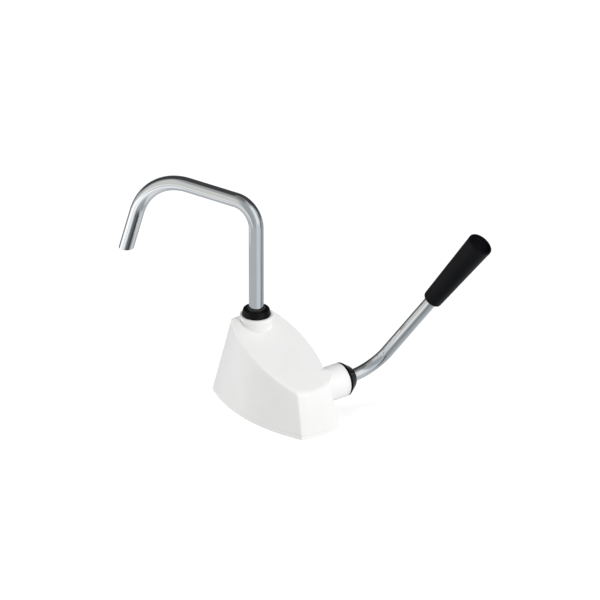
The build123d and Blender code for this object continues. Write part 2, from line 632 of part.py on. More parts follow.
def flap_y(side):
    return -FLAP_OFFSET if side == "inlet" else FLAP_OFFSET


def seat_x(side):
    return PLATE_FRONT if side == "inlet" else PLATE_REAR


def hinge_lugs(side, z):
    """The two ears that hold a hinge pin beside its flap."""
    pin_x, seat, middle = hinge_x(side), seat_x(side), flap_y(side)
    outer = pin_x + (pin_x - seat) / abs(pin_x - seat) * KNUCKLE_R
    low, high = min(seat, outer), max(seat, outer)
    return [
        block(low, high, middle + y, middle + y + LUG, z - KNUCKLE_R, z + KNUCKLE_R)
        for y in (-LUG_OUTER, LUG_INNER)
    ]


def hinge_pin(side, z):
    middle = flap_y(side)
    return rod_y(hinge_x(side), z, HINGE_PIN_R, middle - LUG_OUTER, middle + LUG_OUTER)


def make_valve_plate():
    plate = block(PLATE_REAR, PLATE_FRONT, -CASING_HALF, CASING_HALF, PLATE, VALVE_TOP)
    for side in ("inlet", "outlet"):
        for z in HINGE_LINES.values():
            bore_z = z - (FLAP_HEIGHT + FLAP_FOOT) / 2
            plate = plate - rod_x(flap_y(side), bore_z, VALVE_BORE / 2, PLATE_REAR, PLATE_FRONT)
            for lug in hinge_lugs(side, z):
                plate = plate + (lug - hinge_pin(side, z))
    for y, z in VALVE_SCREWS:
        plate = plate - rod_x(y, z, COVER_SCREW_R + SEAT_GAP, PLATE_REAR, PLATE_FRONT)
    return plate


def make_flap(side, z):
    """A flap that hangs shut from its knuckle."""
    pin_x, seat, middle = hinge_x(side), seat_x(side), flap_y(side)
    face = seat + (pin_x - seat) / abs(pin_x - seat) * FLAP_THICK
    low, high = min(seat, face), max(seat, face)
    left, right = middle - FLAP_WIDTH / 2, middle + FLAP_WIDTH / 2
    flap = block(low, high, left, right, z - FLAP_HEIGHT, z)
    web_low, web_high = min(face, pin_x), max(face, pin_x)
    flap = flap + block(web_low, web_high, left, right, z - KNUCKLE_R, z)
    flap = flap + rod_y(pin_x, z, KNUCKLE_R, left, right)
    return flap - rod_y(pin_x, z, HINGE_PIN_R + RUN_FIT, left, right)


def make_hinge_pins():
    return Compound(children=[
        hinge_pin(side, z) for side in ("inlet", "outlet") for z in HINGE_LINES.values()
    ])


def valve_gasket(x0, x1, windows):
    gasket = block(x0, x1, -CASING_HALF, CASING_HALF, PLATE, VALVE_TOP)
    for y0, y1, z0, z1 in windows:
        gasket = gasket - block(x0, x1, y0, y1, z0, z1)
    for y, z in VALVE_SCREWS:
        gasket = gasket - rod_x(y, z, COVER_SCREW_R + SEAT_GAP, x0, x1)
    return gasket


def make_front_gasket():
    windows = [
        (CHAMBER_LOW_Y, CHAMBER_HIGH_Y, UPPER_POCKET_FLOOR, slope_z(VALVE_X, HUB_BORE_R)),
        (CHAMBER_LOW_Y, CHAMBER_HIGH_Y, FLOOR, LOWER_POCKET_TOP),
    ]
    return valve_gasket(PLATE_FRONT, VALVE_X, windows)


# ---- Valve chest: inlet and outlet ways behind the valve plate, and the spout's neck ----
def chest_windows():
    half = DIVIDER / 2
    return [
        (-CHEST_WALL_Y, -half, FLOOR, INLET_CEILING),
        (half, CHEST_WALL_Y, FLOOR, OUTLET_CEILING),
    ]


def make_rear_gasket():
    return valve_gasket(CHEST_FRONT, PLATE_REAR, chest_windows())


def make_valve_chest():
    high_floor = PORT_PAD_TOP + CASING_WALL
    back_wall = CHEST_BACK + CASING_WALL
    step_wall = CHEST_STEP_X + CASING_WALL
    chest = block(CHEST_BACK, CHEST_FRONT, -CASING_HALF, CASING_HALF, PORT_PAD_TOP, CHEST_TOP)
    chest = chest + block(CHEST_STEP_X, CHEST_FRONT, -CASING_HALF, CASING_HALF, PLATE, CHEST_TOP)
    for y0, y1, z0, z1 in chest_windows():
        chest = chest - block(step_wall, CHEST_FRONT, y0, y1, z0, z1)
        chest = chest - block(back_wall, CHEST_FRONT, y0, y1, high_floor, z1)
    for y, z in VALVE_SCREWS:
        chest = chest + rod_x(y, z, COVER_SCREW_R + VALVE_SCREW_SKIN, back_wall, CHEST_FRONT)
        chest = chest - rod_x(y, z, COVER_SCREW_R + SEAT_GAP, CHEST_BACK, CHEST_FRONT)
    for x, y in CHEST_FEET:
        ends = sorted((copysign(CASING_HALF, y), y + copysign(FOOT_SKIN, y)))
        foot = block(x - FOOT_HALF, x + FOOT_HALF, *ends, PLATE, BODY_SCREW_TIP + FOOT_CAP)
        chest = chest + foot - rod_z(x, y, BASE_SCREW_R, PLATE, BODY_SCREW_TIP)
    chest = chest - rod_z(PASSAGE_X, PASSAGE_Y, PASSAGE_R, PORT_PAD_TOP, high_floor)
    chest = chest + rod_z(SPOUT_X, 0, NECK_R, CHEST_TOP, NECK_TOP)
    chest = chest - rod_z(SPOUT_X, 0, COLLAR_BORE_R, CHEST_TOP, NECK_TOP)
    bore = rod_z(SPOUT_X, 0, SPOUT_R - SPOUT_WALL, INLET_CEILING + NECK_FLOOR, CHEST_TOP)
    return chest - bore


def make_valve_screws():
    return Compound(children=[
        pan_screw(
            (VALVE_X + VALVE_SCREW_BITE, y, z),
            (CHEST_BACK, y, z),
            COVER_SCREW_R,
            COVER_SCREW_HEAD,
        )
        for y, z in VALVE_SCREWS
    ])


# ---- Shaft bushes, seals and the black gland nut ---------------------------------------
def sleeve_y(outer, inner, y0, y1):
    return rod_y(SHAFT_X, SHAFT_Z, outer, y0, y1) - rod_y(SHAFT_X, SHAFT_Z, inner, y0, y1)


def make_inner_bush():
    return sleeve_y(INNER_BUSH_R, LEVER_R + RUN_FIT, SHAFT_END - PASS_GAP, CHAMBER_LOW_Y)


def make_cover_bush():
    return sleeve_y(COVER_BUSH_R, LEVER_R + RUN_FIT, CHAMBER_HIGH_Y, COVER_BUSH_END)


def make_stub_bush():
    return sleeve_y(STUB_BORE_R, LEVER_R + RUN_FIT, STUB_BUSH_Y, PACKING_Y)


def make_gland_packing():
    return sleeve_y(STUB_BORE_R - SEAT_GAP, LEVER_R + RUN_FIT, PACKING_Y, PACKING_Y + PACKING)


def make_shaft_seal():
    place = Location((SHAFT_X, COVER_BUSH_END + SHAFT_SEAL_MINOR + SEAT_GAP, SHAFT_Z), (90, 0, 0))
    return ring(place, LEVER_R + RUN_FIT + SHAFT_SEAL_MINOR, SHAFT_SEAL_MINOR)


def make_shaft_nut():
    """A cone that narrows towards the lever, with a spigot that presses the packing."""
    bore = LEVER_R + PASS_GAP
    spigot_r = STUB_BORE_R - SEAT_GAP
    profile = [
        (bore, -SHAFT_SPIGOT, 0),
        (spigot_r, -SHAFT_SPIGOT, 0),
        (spigot_r, 0, 0),
        (SHAFT_NUT_R, 0, NUT_FOOT_ROUND),
        (SHAFT_NUT_R, SHAFT_NUT_RIM, NUT_RIM_ROUND),
        (SHAFT_NUT_TIP_R + NUT_TAPER_END, SHAFT_NUT_LENGTH - NUT_TAPER_END, NUT_BEVEL_ROUND),
        (SHAFT_NUT_TIP_R, SHAFT_NUT_LENGTH, NUT_TIP_ROUND),
        (bore, SHAFT_NUT_LENGTH, NUT_FOOT_ROUND),
    ]
    return turned(Plane(origin=(SHAFT_X, STUB_END, SHAFT_Z), z_dir=(0, 1, 0)).location, profile)


# ---- Lever, grip and vane: all that swings ---------------------------------------------
def make_lever_tube():
    start = Vector(SHAFT_X, SHAFT_END, SHAFT_Z)
    end = LEVER_CORNER + LEVER_WAY * (LEVER_ARM - GRIP_DISH - GRIP_CAP)
    path = FilletPolyline(start, LEVER_CORNER, end, radius=LEVER_BEND)
    tube = tube_along(path, LEVER_R, LEVER_R - LEVER_WALL)
    return tube - cross_pin_shape()


def vane_place():
    """Location whose X axis runs along the vane and whose Y axis is the shaft."""
    up = radians(VANE_UP)
    along = Vector(-cos(up), 0, sin(up))
    across = Vector(0, 1, 0)
    return Plane(origin=(SHAFT_X, 0, SHAFT_Z), x_dir=along, z_dir=along.cross(across)).location


def cross_pin_shape():
    half = HUB_R - PIN_SHORT
    return vane_place() * rod((0, PIN_Y, -half), (0, PIN_Y, half), PIN_R)


def vane_core():
    low, high = VANE_LOW_Y + WIPER_EDGE, VANE_HIGH_Y - WIPER_EDGE
    return block(0, VANE_TIP - WIPER_EDGE, low, high, -VANE_CORE / 2, VANE_CORE / 2)


def make_vane():
    hub = rod((0, VANE_LOW_Y, 0), (0, VANE_HIGH_Y, 0), HUB_R)
    vane = vane_place() * (hub + vane_core())
    bore = rod_y(SHAFT_X, SHAFT_Z, LEVER_R, VANE_LOW_Y, VANE_HIGH_Y)
    return vane - bore - cross_pin_shape()


def make_vane_wiper():
    """Soft edging on the three free edges of the vane."""
    half = VANE_THICK / 2
    whole = block(HUB_R + WIPER_FOOT, VANE_TIP, VANE_LOW_Y, VANE_HIGH_Y, -half, half)
    whole = whole & rod((0, VANE_LOW_Y, 0), (0, VANE_HIGH_Y, 0), VANE_TIP)
    inner_low, inner_high = VANE_LOW_Y + 2 * WIPER_EDGE, VANE_HIGH_Y - 2 * WIPER_EDGE
    field = block(0, VANE_TIP - 2 * WIPER_EDGE, inner_low, inner_high, -half, half)
    return vane_place() * (whole - field - vane_core())


def make_shaft_plug():
    plug_r = LEVER_R - LEVER_WALL
    return rod_y(SHAFT_X, SHAFT_Z, plug_r, SHAFT_END, SHAFT_END + PLUG_LENGTH)


def make_grip():
    """A tapered handle, rounded at its foot and hollowed at its end."""
    dish_r = GRIP_TOP_R - GRIP_RIM
    dish_floor = GRIP_LENGTH - GRIP_DISH
    profile = [
        (LEVER_R, 0, 0),
        (GRIP_FOOT_R, 0, GRIP_FOOT_ROUND),
        (GRIP_TOP_R, GRIP_LENGTH, GRIP_TOP_ROUND),
        (dish_r, GRIP_LENGTH, GRIP_TOP_ROUND / 2),
        (dish_r - GRIP_RIM / 2, dish_floor, GRIP_TOP_ROUND),
        (0, dish_floor, 0),
        (0, dish_floor - GRIP_CAP, 0),
        (LEVER_R, dish_floor - GRIP_CAP, 0),
    ]
    foot = LEVER_CORNER + LEVER_WAY * (LEVER_ARM - GRIP_LENGTH)
    return turned(Plane(origin=foot, z_dir=LEVER_WAY).location, profile)


# ---- Spout and the pieces of its swivel --------------------------------------------------
def make_spout_tube():
    points = [
        Vector(SPOUT_X, 0, COLLAR_Z),
        SPOUT_CORNER,
        OUTLET_CORNER,
        OUTLET_END + LEG_WAY * SPOUT_R,
    ]
    path = FilletPolyline(*points, radius=[RISER_BEND, OUTLET_BEND])
    tube = tube_along(path, SPOUT_R, SPOUT_R - SPOUT_WALL)
    level = Plane(origin=OUTLET_END, z_dir=(0, 0, 1))
    foot = level * Cylinder(SPOUT_OD, SPOUT_OD, align=(Align.CENTER, Align.CENTER, Align.MAX))
    return tube - foot


def make_spout_collar():
    return rod_z(SPOUT_X, 0, COLLAR_R, COLLAR_Z, COLLAR_Z + COLLAR_HEIGHT) - rod_z(
        SPOUT_X, 0, SPOUT_R, COLLAR_Z, COLLAR_Z + COLLAR_HEIGHT
    )


def make_spout_bush():
    bush = rod_z(SPOUT_X, 0, NECK_R, NECK_TOP, BUSH_TOP)
    bush = bush - rod_z(SPOUT_X, 0, SPOUT_R + RUN_FIT, NECK_TOP, BUSH_TOP)
    for z in SPOUT_SEAL_Z:
        groove = SPOUT_SEAL_MINOR + SEAT_GAP / 2
        bush = bush - rod_z(SPOUT_X, 0, SPOUT_SEAL_R + groove, z - groove, z + groove)
    return bush


def make_spout_seals():
    return Compound(children=[
        ring(Location((SPOUT_X, 0, z)), SPOUT_SEAL_R, SPOUT_SEAL_MINOR) for z in SPOUT_SEAL_Z
    ])


def make_spout_washer():
    return rod_z(SPOUT_X, 0, NECK_R, BUSH_TOP, BUSH_TOP + WASHER) - rod_z(
        SPOUT_X, 0, SPOUT_R + PASS_GAP, BUSH_TOP, BUSH_TOP + WASHER
    )


def make_spout_nut():
    """A low domed collar on the boss, with a spigot that holds the bush down."""
    bore = SPOUT_R + PASS_GAP
    profile = [
        (bore, -NUT_SPIGOT, 0),
        (NECK_R, -NUT_SPIGOT, 0),
        (NECK_R, 0, 0),
        (SPOUT_NUT_R, 0, NUT_FOOT_ROUND),
        (SPOUT_NUT_R - SPOUT_NUT_DRAFT, SPOUT_NUT_RIM, NUT_RIM_ROUND),
        (SPOUT_NUT_R - SPOUT_NUT_SHOULDER, SPOUT_NUT_HEIGHT - SPOUT_NUT_CROWN, NUT_BEVEL_ROUND),
        (SPOUT_NUT_TOP_R, SPOUT_NUT_HEIGHT, SPOUT_NUT_CROWN_ROUND),
        (bore, SPOUT_NUT_HEIGHT - SPOUT_NUT_SINK, NUT_TIP_ROUND),
    ]
    return turned(Location((SPOUT_X, 0, BOSS_TOP)), profile)


# ---- Writing one file for each piece -------------------------------------------------------
PIECES = {
    "housing": make_housing(),
    "base_plate": make_base_plate(),
    "deck_inserts": make_deck_inserts(),
    "housing_screws": make_base_screws(HOUSING_SCREWS, PLATE + BASE_SCREW_BITE),
    "body_screws": make_base_screws(CASING_FEET + CHEST_FEET, BODY_SCREW_TIP),
    "port_seal": make_port_seal(),
    "pump_casing": make_casing(),
    "casing_cover": make_casing_cover(),
    "cover_gasket": make_cover_gasket(),
    "cover_screws": make_cover_screws(),
    "valve_plate": make_valve_plate(),
    "front_gasket": make_front_gasket(),
    "rear_gasket": make_rear_gasket(),
    "flap_hinge_pins": make_hinge_pins(),
    "valve_chest": make_valve_chest(),
    "valve_screws": make_valve_screws(),
    "inner_shaft_bush": make_inner_bush(),
    "cover_shaft_bush": make_cover_bush(),
    "stub_shaft_bush": make_stub_bush(),
    "shaft_seal": make_shaft_seal(),
    "gland_packing": make_gland_packing(),
    "shaft_gland_nut": make_shaft_nut(),
    "lever_tube": make_lever_tube(),
    "shaft_plug": make_shaft_plug(),
    "vane": make_vane(),
    "vane_wiper": make_vane_wiper(),
    "vane_cross_pin": cross_pin_shape(),
    "lever_grip": make_grip(),
    "spout_tube": make_spout_tube(),
    "spout_collar": make_spout_collar(),
    "spout_bush": make_spout_bush(),
    "spout_seals": make_spout_seals(),
    "spout_washer": make_spout_washer(),
    "spout_gland_nut": make_spout_nut(),
}
for side in ("inlet", "outlet"):
    for level, hinge_z in HINGE_LINES.items():
        PIECES[f"{side}_flap_{level}"] = make_flap(side, hinge_z)

os.makedirs("parts", exist_ok=True)
for name, piece in PIECES.items():
    export_step(piece, f"parts/{name}.step")
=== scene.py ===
# %% [markdown]
# # A hand pump for a galley, dressed for its portrait
#
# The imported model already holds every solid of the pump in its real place: a white wedge-shaped
# housing, a bent spout that swivels, a bent lever with a black grip, and the valves and seals
# inside. This lesson keeps those solids as they are, gives each of them a finish that is built
# from nodes, adds the few soft pieces that a turned solid can't show well, and sets up a plain
# studio. Lengths are in metres, as everywhere in Blender.

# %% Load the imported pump
import json
import math

import bpy
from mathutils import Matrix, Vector


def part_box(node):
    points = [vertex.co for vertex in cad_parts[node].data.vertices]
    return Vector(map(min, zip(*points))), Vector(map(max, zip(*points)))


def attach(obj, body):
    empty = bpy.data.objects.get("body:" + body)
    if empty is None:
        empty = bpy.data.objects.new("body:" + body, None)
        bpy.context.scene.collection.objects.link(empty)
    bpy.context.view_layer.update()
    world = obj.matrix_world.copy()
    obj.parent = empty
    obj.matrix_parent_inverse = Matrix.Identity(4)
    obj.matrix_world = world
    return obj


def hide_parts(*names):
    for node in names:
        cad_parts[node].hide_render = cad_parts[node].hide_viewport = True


MM = 0.001
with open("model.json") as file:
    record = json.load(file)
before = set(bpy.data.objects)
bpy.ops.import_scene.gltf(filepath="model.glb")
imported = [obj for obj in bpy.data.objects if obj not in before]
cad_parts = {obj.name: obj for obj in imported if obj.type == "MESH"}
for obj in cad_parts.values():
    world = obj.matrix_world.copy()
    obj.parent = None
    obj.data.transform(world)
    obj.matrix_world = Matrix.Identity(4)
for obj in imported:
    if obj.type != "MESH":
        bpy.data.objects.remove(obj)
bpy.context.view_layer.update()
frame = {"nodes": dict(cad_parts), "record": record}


# %% [markdown]
# Operators act on everything that is selected, and a fresh import leaves all of it selected.
# So the first helper picks exactly one object. The second ends the work on a new piece: it bakes
# the piece's place into its mesh, points its faces outwards and lets it ride with a body of the
# pump.


# %% Pick one object, and finish a piece
def pick(thing):
    if bpy.context.mode != "OBJECT":
        bpy.ops.object.mode_set(mode="OBJECT")
    bpy.ops.object.select_all(action="DESELECT")
    thing.select_set(True)
    bpy.context.view_layer.objects.active = thing


def finish_piece(piece, name, body, finish, soft_angle=40):
    pick(piece)
    piece.name = name
    bpy.ops.object.transform_apply(location=True, rotation=True, scale=True)
    bpy.ops.object.mode_set(mode="EDIT")
    bpy.ops.mesh.select_all(action="SELECT")
    bpy.ops.mesh.remove_doubles(threshold=0.000001)
    bpy.ops.mesh.normals_make_consistent(inside=False)
    bpy.ops.object.mode_set(mode="OBJECT")
    bpy.ops.object.shade_smooth_by_angle(angle=math.radians(soft_angle))
    piece.data.materials.clear()
    piece.data.materials.append(finish)
    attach(piece, body)
    print(name, "has", len(piece.data.polygons), "faces")


# %% [markdown]
# ## Effects that several finishes share
#
# Moulded plastic is never perfectly flat: the skin carries a faint waviness from the mould, and a
# much finer grain. Hands leave it a little duller here and there. Each of these effects is a node
# group, built once and placed in every finish that needs it with that finish's own sizes. They
# read Object coordinates, so the pattern sits still on the piece when it moves.


# %% A small language for node groups
def new_group(name, inputs, outputs):
    group = bpy.data.node_groups.new(name, "ShaderNodeTree")
    for label, kind, value in inputs:
        socket = group.interface.new_socket(name=label, in_out="INPUT", socket_type=kind)
        if value is not None:
            socket.default_value = value
    for label in outputs:
        group.interface.new_socket(name=label, in_out="OUTPUT", socket_type="NodeSocketFloat")
    start = group.nodes.new("NodeGroupInput")
    end = group.nodes.new("NodeGroupOutput")
    return group, start, end


def math_node(tree, operation, *values, clamp=False):
    node = tree.nodes.new("ShaderNodeMath")
    node.operation = operation
    node.use_clamp = clamp
    for place, value in enumerate(values):
        if hasattr(value, "is_output"):
            tree.links.new(value, node.inputs[place])
        else:
            node.inputs[place].default_value = value
    return node.outputs[0]


def noise_node(tree, where, scale, detail=2.0, roughness=0.5, distortion=0.0):
    node = tree.nodes.new("ShaderNodeTexNoise")
    node.inputs["Detail"].default_value = detail
    node.inputs["Roughness"].default_value = roughness
    node.inputs["Distortion"].default_value = distortion
    tree.links.new(where, node.inputs["Vector"])
    if hasattr(scale, "is_output"):
        tree.links.new(scale, node.inputs["Scale"])
    else:
        node.inputs["Scale"].default_value = scale
    return node.outputs["Fac"]


def soft_step(tree, value, low, high):
    node = tree.nodes.new("ShaderNodeMapRange")
    node.interpolation_type = "SMOOTHSTEP"
    tree.links.new(value, node.inputs["Value"])
    node.inputs["From Min"].default_value = low
    node.inputs["From Max"].default_value = high
    return node.outputs["Result"]


# %% [markdown]
# The moulded skin adds two sizes of noise. The wave is centimetres long and only bends the
# reflections. The grain is a fraction of a millimetre and takes the hard edge off a highlight.

# %% Moulded skin
moulded_skin, skin_in, skin_out = new_group(
    "moulded_skin",
    [
        ("Vector", "NodeSocketVector", None),
        ("Waves per metre", "NodeSocketFloat", 60.0),
        ("Grains per metre", "NodeSocketFloat", 2500.0),
        ("Grain share", "NodeSocketFloat", 0.2),
    ],
    ["Height"],
)
wave = noise_node(moulded_skin, skin_in.outputs["Vector"], skin_in.outputs["Waves per metre"])
grain = noise_node(
    moulded_skin, skin_in.outputs["Vector"], skin_in.outputs["Grains per metre"], detail=3.0
)
fine = math_node(moulded_skin, "MULTIPLY", grain, skin_in.outputs["Grain share"])
height = math_node(moulded_skin, "ADD", wave, fine)
moulded_skin.links.new(height, skin_out.inputs["Height"])

# %% [markdown]
# Handling marks are where a surface has been touched and wiped. Broad noise says where, finer
# stretched noise breaks it up, and a smooth step keeps clean areas really clean.

# %% Handling marks
handling_marks, marks_in, marks_out = new_group(
    "handling_marks",
    [
        ("Vector", "NodeSocketVector", None),
        ("Patches per metre", "NodeSocketFloat", 22.0),
        ("Cover", "NodeSocketFloat", 0.5),
    ],
    ["Mask"],
)
patch = noise_node(
    handling_marks, marks_in.outputs["Vector"], marks_in.outputs["Patches per metre"],
    detail=4.0, roughness=0.6, distortion=0.4,
)
broken = noise_node(
    handling_marks, marks_in.outputs["Vector"],
    scale=310.0, detail=4.0, roughness=0.65, distortion=1.2,
)
shifted = math_node(handling_marks, "ADD", patch, marks_in.outputs["Cover"])
touched = soft_step(handling_marks, shifted, low=0.85, high=1.25)
mask = math_node(handling_marks, "MULTIPLY", touched, broken, clamp=True)
handling_marks.links.new(mask, marks_out.inputs["Mask"])

# %% [markdown]
# Polished tube keeps the traces of the buffing wheel: hair-fine lines that run round and along
# it, far too shallow to see one by one, but enough to soften a reflection unevenly. Two noises,
# each squeezed hard along one direction, cross each other for that.

# %% Buffing lines
buffing_lines, buff_in, buff_out = new_group(
    "buffing_lines",
    [
        ("Vector", "NodeSocketVector", None),
        ("Lines per metre", "NodeSocketFloat", 1800.0),
    ],
    ["Height", "Haze"],
)
crossed = []
for squeeze in ((1.0, 1.0, 0.06), (0.06, 0.4, 1.0)):
    stretch = buffing_lines.nodes.new("ShaderNodeMapping")
    stretch.vector_type = "POINT"
    stretch.inputs["Scale"].default_value = squeeze
    buffing_lines.links.new(buff_in.outputs["Vector"], stretch.inputs["Vector"])
    crossed.append(
        noise_node(buffing_lines, stretch.outputs["Vector"], buff_in.outputs["Lines per metre"])
    )
lines = math_node(buffing_lines, "ADD", crossed[0], crossed[1])
half = math_node(buffing_lines, "MULTIPLY", lines, 0.5)
buffing_lines.links.new(half, buff_out.inputs["Height"])
cloud = noise_node(
    buffing_lines, buff_in.outputs["Vector"],
    scale=35.0, detail=5.0, roughness=0.6, distortion=0.3,
)
haze = soft_step(buffing_lines, cloud, low=0.35, high=0.75)
buffing_lines.links.new(haze, buff_out.inputs["Haze"])


# %% [markdown]
# ## Finishes
#
# Every finish starts the same way: one Principled shader, Object coordinates, the moulded skin as
# a bump and the handling marks mixed into colour and roughness. The maker of a finish says how
# dull, how wavy and how worn it is. Numbers that are the same all over sit on the shader itself.


# %% Start a finish
def start_finish(name):
    finish = bpy.data.materials.new(name)
    finish.use_nodes = True
    tree = finish.node_tree
    shader = tree.nodes["Principled BSDF"]
    where = tree.nodes.new("ShaderNodeTexCoord").outputs["Object"]
    return finish, tree, shader, where


def place_group(tree, group, where, **values):
    node = tree.nodes.new("ShaderNodeGroup")
    node.node_tree = group
    tree.links.new(where, node.inputs["Vector"])
    for label, value in values.items():
        node.inputs[label.replace("_", " ")].default_value = value
    return node


def bump_from(tree, shader, height, depth):
    bump = tree.nodes.new("ShaderNodeBump")
    bump.inputs["Distance"].default_value = depth
    tree.links.new(height, bump.inputs["Height"])
    tree.links.new(bump.outputs["Normal"], shader.inputs["Normal"])


def between(tree, mask, clean, marked):
    """A number that goes from the clean value to the marked one."""
    node = tree.nodes.new("ShaderNodeMapRange")
    tree.links.new(mask, node.inputs["Value"])
    node.inputs["To Min"].default_value = clean
    node.inputs["To Max"].default_value = marked
    return node.outputs["Result"]


def two_tones(tree, shader, mask, clean, marked):
    mix = tree.nodes.new("ShaderNodeMix")
    mix.data_type = "RGBA"
    mix.inputs[6].default_value = (*clean, 1)
    mix.inputs[7].default_value = (*marked, 1)
    tree.links.new(mask, mix.inputs[0])
    tree.links.new(mix.outputs[2], shader.inputs["Base Color"])


def moulded_finish(name, clean, marked, dull, marked_dull, waves, grains, share, depth, cover=0.5):
    finish, tree, shader, where = start_finish(name)
    skin = place_group(
        tree, moulded_skin, where,
        Waves_per_metre=waves, Grains_per_metre=grains, Grain_share=share,
    )
    marks = place_group(tree, handling_marks, where, Patches_per_metre=22.0, Cover=cover)
    two_tones(tree, shader, marks.outputs["Mask"], clean, marked)
    roughness = between(tree, marks.outputs["Mask"], dull, marked_dull)
    tree.links.new(roughness, shader.inputs["Roughness"])
    bump_from(tree, shader, skin.outputs["Height"], depth)
    return finish, shader


# %% [markdown]
# The housing is white gloss plastic, straight from a polished mould. It is nearly as bright as
# plastic gets, with a clear hard skin, so it gets a low roughness and a thin coat on top.

# %% White gloss plastic
white_plastic, shader = moulded_finish(
    "white_gloss_plastic",
    clean=(0.845, 0.845, 0.840), marked=(0.79, 0.79, 0.775), dull=0.30, marked_dull=0.42,
    waves=45.0, grains=2600.0, share=0.05, depth=0.05 * MM,
)
shader.inputs["IOR"].default_value = 1.49
shader.inputs["Coat Weight"].default_value = 0.35
shader.inputs["Coat Roughness"].default_value = 0.12

# %% [markdown]
# The two gland nuts are black gloss plastic, and the grip is the same stuff from a finely etched
# mould, which makes it satin. Black shows dust, so its marks are lighter than its clean skin.

# %% Black plastics
black_plastic, shader = moulded_finish(
    "black_gloss_plastic",
    clean=(0.0025, 0.0025, 0.0028), marked=(0.006, 0.006, 0.007), dull=0.09, marked_dull=0.22,
    waves=260.0, grains=3000.0, share=0.05, depth=0.09 * MM,
)
shader.inputs["IOR"].default_value = 1.23
grip_plastic, shader = moulded_finish(
    "satin_grip_plastic",
    clean=(0.0024, 0.0026, 0.0036), marked=(0.006, 0.006, 0.008), dull=0.34, marked_dull=0.48,
    waves=130.0, grains=4200.0, share=0.9, depth=0.03 * MM,
)
shader.inputs["IOR"].default_value = 1.20


# %% [markdown]
# Spout and lever are stainless tube, polished until it mirrors the room. A mirror has no colour
# of its own beyond the metal's slightly cool grey. What makes it steel and not chrome is the
# haze of the buffing, which comes and goes along the tube.


# %% Metals
def metal_finish(name, clean, marked, dull, marked_dull, lines, depth, cover=0.5):
    finish, tree, shader, where = start_finish(name)
    buffing = place_group(tree, buffing_lines, where, Lines_per_metre=lines)
    marks = place_group(tree, handling_marks, where, Patches_per_metre=30.0, Cover=cover)
    two_tones(tree, shader, marks.outputs["Mask"], clean, marked)
    worn = math_node(tree, "MAXIMUM", buffing.outputs["Haze"], marks.outputs["Mask"])
    tree.links.new(between(tree, worn, dull, marked_dull), shader.inputs["Roughness"])
    bump_from(tree, shader, buffing.outputs["Height"], depth)
    shader.inputs["Metallic"].default_value = 1.0
    return finish


polished_steel = metal_finish(
    "polished_stainless_tube",
    clean=(0.645, 0.668, 0.684), marked=(0.60, 0.62, 0.635), dull=0.035, marked_dull=0.095,
    lines=1800.0, depth=0.0004 * MM, cover=0.45,
)
steel = metal_finish(
    "stainless_hardware",
    clean=(0.56, 0.56, 0.57), marked=(0.47, 0.46, 0.45), dull=0.26, marked_dull=0.42,
    lines=2600.0, depth=0.004 * MM,
)
brass = metal_finish(
    "turned_brass",
    clean=(0.80, 0.58, 0.27), marked=(0.55, 0.38, 0.17), dull=0.24, marked_dull=0.45,
    lines=3200.0, depth=0.006 * MM,
)

# %% [markdown]
# Inside, nobody polishes anything. The casing and valves are natural acetal, the bushes a
# yellower bearing plastic with turning marks, and all seals and flaps are black rubber with a
# dull, dusty bloom.

# %% Plastics and rubber inside the pump
pump_plastic, _ = moulded_finish(
    "natural_acetal",
    clean=(0.70, 0.70, 0.655), marked=(0.60, 0.595, 0.54), dull=0.42, marked_dull=0.60,
    waves=110.0, grains=2400.0, share=0.5, depth=0.05 * MM, cover=0.6,
)
bearing_plastic, _ = moulded_finish(
    "turned_bearing_plastic",
    clean=(0.80, 0.78, 0.70), marked=(0.70, 0.67, 0.57), dull=0.36, marked_dull=0.55,
    waves=900.0, grains=3600.0, share=0.3, depth=0.03 * MM,
)
rubber, shader = moulded_finish(
    "black_seal_rubber",
    clean=(0.011, 0.011, 0.011), marked=(0.040, 0.039, 0.037), dull=0.55, marked_dull=0.75,
    waves=300.0, grains=2800.0, share=1.0, depth=0.06 * MM, cover=0.62,
)
shader.inputs["Sheen Weight"].default_value = 0.05
shader.inputs["Sheen Roughness"].default_value = 0.5

# %% [markdown]
# Gland packing is a plaited cord soaked in grease. The plait is modelled further down, so its
# finish only needs the fibres: fine crossed noise in a warm, dirty grey.

# %% Greased packing cord
packing, tree, shader, where = start_finish("greased_packing_cord")
fibres = place_group(tree, buffing_lines, where, Lines_per_metre=3800.0)
two_tones(
    tree, shader, fibres.outputs["Height"], clean=(0.16, 0.15, 0.125), marked=(0.42, 0.40, 0.34)
)
roughness = between(tree, fibres.outputs["Haze"], clean=0.45, marked=0.80)
tree.links.new(roughness, shader.inputs["Roughness"])
bump_from(tree, shader, fibres.outputs["Height"], depth=0.12 * MM)

# %% [markdown]
# The record of the part names one finish for each node. A table from those names to the new
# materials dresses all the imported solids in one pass. Only their material slots change.

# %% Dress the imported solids
FINISHES = {
    "white_plastic": white_plastic,
    "black_plastic": black_plastic,
    "grip_plastic": grip_plastic,
    "polished_steel": polished_steel,
    "steel": steel,
    "brass": brass,
    "pump_plastic": pump_plastic,
    "bearing_plastic": bearing_plastic,
    "rubber": rubber,
    "packing": packing,
}
for part in frame["record"]["subparts"]:
    node = frame["nodes"][part["node"]]
    node.data.materials.clear()
    node.data.materials.append(FINISHES[part["material_slot"]])
    for face in node.data.polygons:
        face.material_index = 0

# %% [markdown]
# ## Soft pieces that turned solids can't show
#
# Where a tube leaves its gland nut, a rubber lip wipes water and dust off it. It is a ring that is
# wide on the nut and thin at the tube. A torus would be too round for that, so the section is
# walked corner by corner: a circle is extruded, and each new loop is resized and lifted to the
# next corner. Bridging the last loop to the first closes the ring, and a small bevel softens it.


